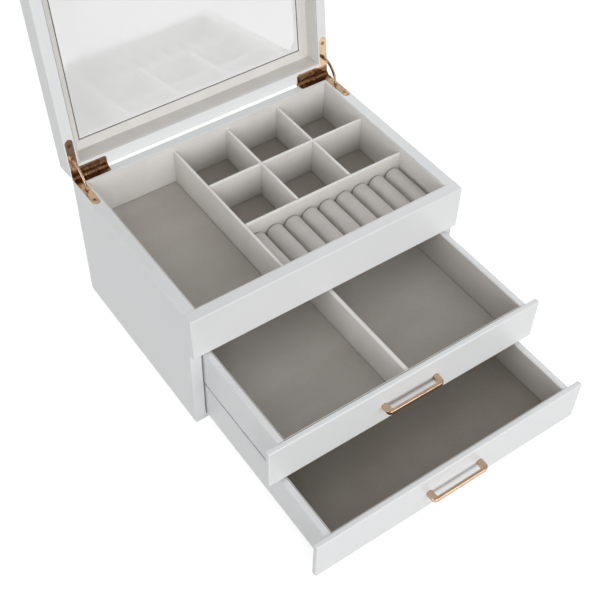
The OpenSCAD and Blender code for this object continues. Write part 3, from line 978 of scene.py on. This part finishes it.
# %% Glass with a ground edge
glass_low, glass_high = shut_box("mirror_glass")
GROUND_EDGE = 3.5 * MM
FALL = 0.35 * MM
BACK_SPREAD = 0.75 * MM
BACK_DEPTH = 1.1 * MM
glass = solid_box(glass_low, glass_high)
glass.normal_update()
face = next(f for f in glass.faces if f.normal.z < -0.9)
bmesh.ops.inset_region(glass, faces=[face], thickness=GROUND_EDGE, use_even_offset=True)
for vertex in glass.verts:
    at_rim = min(vertex.co.x - glass_low.x, glass_high.x - vertex.co.x) < 0.1 * MM
    if at_rim and vertex.co.z < glass_high.z - 0.1 * MM:
        vertex.co.z += FALL
make_piece("mirror_plate", glass, painted_reflection_glass, "lid", ["mirror_glass"], crease=1)

spread = Vector((BACK_SPREAD, BACK_SPREAD, 0))
sheet_low = Vector((glass_low.x, glass_low.y, glass_high.z - BACK_DEPTH)) - spread
back_sheet = solid_box(sheet_low, glass_high + spread)
for vertex in back_sheet.verts:
    vertex.co.z -= 0.01 * MM
make_piece("mirror_backing", soften(back_sheet, EVERY_EDGE, 0.1 * MM, 2), backing, "lid")
print("mirror", [round(s / MM) for s in glass_high - glass_low], "mm")

# %% A frame of four mitred velvet strips
frame_low, frame_high = shut_box("mirror_border")
HOLE = 0.8 * MM
HOLE_ROUND = 0.7 * MM
MITRE_SPACE = 0.0008


def mitred_frame(name, low, high, hole_low, hole_high, finish, node):
    """Four strips that meet at mitres, each rounded along the hole's edge."""
    outer = [(low.x, low.y), (high.x, low.y), (high.x, high.y), (low.x, high.y)]
    inner = [(hole_low.x, hole_low.y), (hole_high.x, hole_low.y),
             (hole_high.x, hole_high.y), (hole_low.x, hole_high.y)]
    for i, side in enumerate(("front", "right", "rear", "left")):
        j = (i + 1) % 4
        outline = [outer[i], outer[j], inner[j], inner[i]]
        middle = Vector((sum(p[0] for p in outline) / 4, sum(p[1] for p in outline) / 4))
        outline = [middle + (Vector(p) - middle) * (1 - MITRE_SPACE) for p in outline]
        shape = bmesh.new()
        lower = [shape.verts.new((*p, low.z)) for p in outline]
        upper = [shape.verts.new((*p, high.z)) for p in outline]
        shape.faces.new(lower)
        shape.faces.new(reversed(upper))
        for a in range(4):
            b = (a + 1) % 4
            shape.faces.new((lower[a], upper[a], upper[b], lower[b]))
        shape.edges.ensure_lookup_table()
        hole_edge = shape.edges.get((lower[2], lower[3]))
        bmesh.ops.bevel(
            shape, geom=[hole_edge], offset=HOLE_ROUND, segments=4, profile=0.5, affect="EDGES"
        )
        make_piece(f"{name}_{side}", shape, finish, "lid", [node])


mitred_frame(
    "velvet_mirror_frame", frame_low, frame_high,
    Vector((glass_low.x - HOLE, glass_low.y - HOLE, 0)),
    Vector((glass_high.x + HOLE, glass_high.y + HOLE, 0)),
    lid_velvet, "mirror_border",
)
print("a mitred frame of 4 strips")

# %% [markdown]
# ## Felt under the case
#
# A sheet of pressed felt keeps the base from scratching a table. It is cut with a knife,
# so its edge is nearly square and slightly compressed, and it is set back from the
# case's outline where nobody sees it.

# %% Cut the felt
felt_sheet = soften(cad_shape("base_felt"), EVERY_EDGE, 0.35 * MM, 3)
make_piece("felt_sheet", felt_sheet, felt, "case", ["base_felt"])

# %% [markdown]
# ## Gilt hinges, stays and pulls
#
# The hinge leaves lie flush in the rims, with one arm along the side and one along the
# rear, and five knuckles round a pin. A curved stay slides in a slot in both leaves. The
# pulls are flat bars turned back at both ends. All of them are stamped or milled and
# then tumbled before plating, which leaves a fine even rounding on each outer edge. That
# rounding is what catches a line of light, so it is real geometry here too.

# %% Round every outer edge of a metal part
LEAF_ROUND = 0.12 * MM
STAY_ROUND = 0.2 * MM
PULL_ROUND = 0.95 * MM


def tumble(shape, radius, steps=3):
    """Rounds the sharp outward edges of a part, as tumbling does."""
    shape.normal_update()
    sharp = [
        edge
        for edge in shape.edges
        if len(edge.link_faces) == 2 and edge.is_convex and edge.calc_face_angle(0) > math.radians(55)
    ]
    bmesh.ops.bevel(
        shape, geom=sharp, offset=radius, segments=steps, profile=0.5,
        affect="EDGES", clamp_overlap=False,
    )
    return shape


for side in ("left", "right"):
    for part in ("case", "lid"):
        node = f"hinge_leaf_{part}_{side}"
        make_piece("gilt_" + node, tumble(cad_shape(node), LEAF_ROUND), rose_gold, part, [node])
    node = "hinge_stay_" + side
    make_piece("gilt_" + node, tumble(cad_shape(node), STAY_ROUND), rose_gold, body_of(node), [node])
for drawer in ("drawer_upper", "drawer_lower"):
    node = drawer + "_pull"
    make_piece("gilt_" + node, tumble(cad_shape(node), PULL_ROUND, 6), pull_gold, drawer, [node])
print("4 leaves, 2 stays and 2 pulls")

# %% [markdown]
# The pins and screws have their shape in the CAD model already, down to the crosses in
# the hinge screws' heads. So those nodes stay as they are and only change their finish.

# %% Plate the pins and screws
PLATED = {
    "hinge_pins": rose_gold,
    "hinge_screws_case": screw_gold,
    "hinge_screws_lid": screw_gold,
    "drawer_upper_screws": zinc,
    "drawer_lower_screws": zinc,
}
for node, finish in PLATED.items():
    part = frame["nodes"][node]
    part.data.materials.clear()
    part.data.materials.append(finish.material)
print(len(PLATED), "CAD nodes plated")

# %% [markdown]
# ## The floor
#
# The table is a sheet of white acrylic lit from below. A wide plane is all that it
# needs. It glows softly, so that the shadows under the chest stay light. Its glow is
# kept off the boards, because it would light the lowest board far more than the rest.
# White paper hangs all round it, fifteen metres away, so that no horizon shows.

# %% Lay the floor
def make_floor(size):
    finish = Finish("white acrylic", "floor")
    haze = cloud(finish, 0.4)
    finish.surface({
        "Base Color": blend(finish, haze, (0.35, 0.35, 0.35), (0.37, 0.37, 0.37)),
        "Roughness": 0.6 + haze * 0.1,
        "Specular IOR Level": 0.1,
        "Emission Color": (1, 1, 1, 1),
        "Emission Strength": 0.8,
    })
    mesh = bpy.data.meshes.new("floor")
    corners = [(-size, -size, 0), (size, -size, 0), (size, size, 0), (-size, size, 0)]
    mesh.from_pydata(corners, [], [(0, 1, 2, 3)])
    mesh.materials.append(finish.material)
    floor = bpy.data.objects.new("floor", mesh)
    bpy.context.scene.collection.objects.link(floor)
    floor.visible_diffuse = False
    return floor


make_floor(16)
print("a floor 32 m wide")

# %% Hang white paper round the floor
def make_backdrop(radius, height):
    """A ring of white paper that only the camera sees."""
    finish = Finish("white paper", "floor")
    finish.surface({
        "Base Color": (0, 0, 0, 1),
        "Emission Color": blend(finish, cloud(finish, 4.0), (1, 1, 1), (0.99, 0.995, 1)),
        "Emission Strength": 1.0,
    })
    ring = bmesh.new()
    bmesh.ops.create_cone(ring, segments=96, radius1=radius, radius2=radius, depth=2 * height)
    mesh = bpy.data.meshes.new("backdrop")
    ring.to_mesh(mesh)
    ring.free()
    mesh.materials.append(finish.material)
    backdrop = bpy.data.objects.new("backdrop", mesh)
    bpy.context.scene.collection.objects.link(backdrop)
    for sees in ("diffuse", "glossy", "transmission", "volume_scatter", "shadow"):
        setattr(backdrop, "visible_" + sees, False)
    return backdrop


make_backdrop(15, 9)
print("a paper backdrop")
